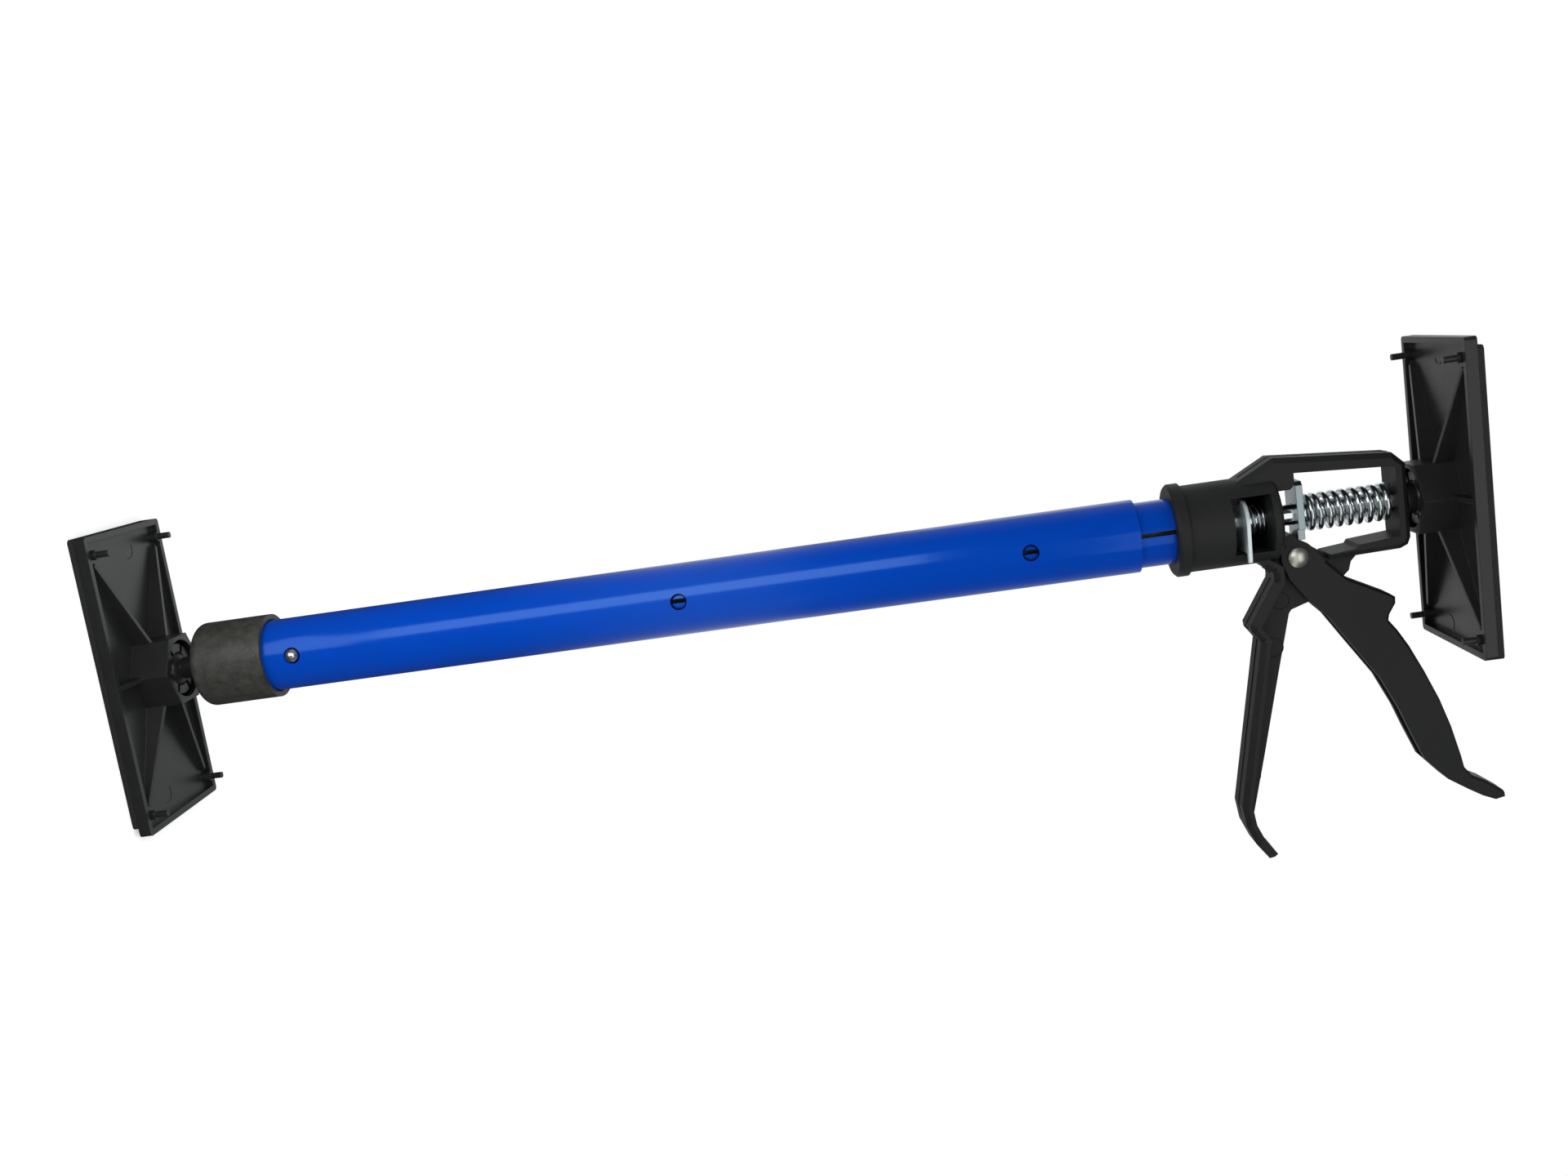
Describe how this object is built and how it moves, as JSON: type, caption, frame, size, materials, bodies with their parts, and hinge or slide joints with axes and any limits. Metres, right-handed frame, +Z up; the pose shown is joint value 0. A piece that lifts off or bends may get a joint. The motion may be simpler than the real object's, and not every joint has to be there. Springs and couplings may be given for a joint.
{
  "type": "telescopic drywall support pole",
  "caption": "Telescoping tube prop with swivelling rectangular end pads, a spring button lock and a trigger-driven push rod.",
  "frame": {"origin": "point of the foot pad's resting face on the pole's axis", "axes": "+Z up the pole to the head pad, +X towards the handle and the trigger, -Y the side of the button"},
  "size_m": [0.1916, 0.06, 0.5247],
  "materials": {
    "sheet": "matt, fine grain",
    "pad": "moulded, satin on the ribs",
    "ball": "smooth satin",
    "cap": "grained",
    "paint": "glossy powder coat",
    "button": "polished",
    "spring_steel": "plain",
    "grip": "moulded, fine grain",
    "trigger": "moulded, satin",
    "rivet": "polished",
    "zinc": "bright zinc plate",
    "spring_zinc": "bright zinc plate",
    "rod": "polished",
    "guide": "plain"
  },
  "bodies": {
    "foot_pad": {"foot_plate": "pad", "foot_sheet": "sheet"},
    "foot_stud": {"foot_ball": "ball"},
    "base_tube": {"outer_tube": "paint", "end_cap": "cap"},
    "grip": {"grip_body": "grip", "inner_tube": "paint", "pivot_rivet": "rivet", "return_spring": "spring_zinc", "lock_spring": "spring_zinc", "button_spring": "spring_steel"},
    "trigger": {"trigger": "trigger"},
    "drive": {"drive_plate": "zinc"},
    "lock": {"lock_plate": "zinc"},
    "button": {"button": "button"},
    "rod": {"push_rod": "rod", "rod_guide": "guide"},
    "head_stud": {"head_ball": "ball"},
    "head_pad": {"head_plate": "pad", "head_sheet": "sheet"}
  },
  "joints": [
    {"name": "foot_tilt", "type": "hinge", "parent": "foot_pad", "child": "foot_stud", "pos_m": [0, 0, 0.0126], "axis": [0, 1, 0], "range_deg": [-20, 20]},
    {"name": "foot_spin", "type": "hinge", "parent": "foot_stud", "child": "base_tube", "pos_m": [0, 0, 0.0283], "axis": [0, 0, 1], "continuous": true},
    {"name": "tube_slide", "type": "slide", "parent": "base_tube", "child": "grip", "axis": [0, 0, 1], "range_m": [0, 0.2862], "deforming": ["button", "button_spring"]},
    {"name": "trigger_pull", "type": "hinge", "parent": "grip", "child": "trigger", "pos_m": [0.0159, 0, 0.4549], "axis": [0, 1, 0], "range_deg": [0, 34], "stiffness_Nm_per_rad": 0.13, "springref_deg": -45.84, "deforming": ["return_spring"]},
    {"name": "drive_slide", "type": "slide", "parent": "grip", "child": "drive", "axis": [0, 0, 1], "range_m": [0, 0.0041], "deforming": ["return_spring"]},
    {"name": "lock_release", "type": "hinge", "parent": "grip", "child": "lock", "pos_m": [-0.0089, 0, 0.435], "axis": [0, -1, 0], "range_deg": [0, 2], "stiffness_Nm_per_rad": 0.05, "springref_deg": -17.19, "deforming": ["lock_spring"]},
    {"name": "button_press", "type": "slide", "parent": "grip", "child": "button", "axis": [0.0924, 0.9957, 0], "range_m": [0, 0.0039], "stiffness_N_per_m": 400, "springref_m": -0.005, "deforming": ["button_spring"]},
    {"name": "rod_slide", "type": "slide", "parent": "grip", "child": "rod", "axis": [0, 0, 1], "range_m": [0, 0.327]},
    {"name": "head_spin", "type": "hinge", "parent": "rod", "child": "head_stud", "pos_m": [0, 0, 0.5], "axis": [0, 0, 1], "continuous": true},
    {"name": "head_tilt", "type": "hinge", "parent": "head_stud", "child": "head_pad", "pos_m": [0, 0, 0.5053], "axis": [0, 1, 0], "range_deg": [-8, 8]}
  ],
  "couplings": [
    {"joint": "drive_slide", "follows": "trigger_pull", "m_per_rad": 0.00688}
  ]
}
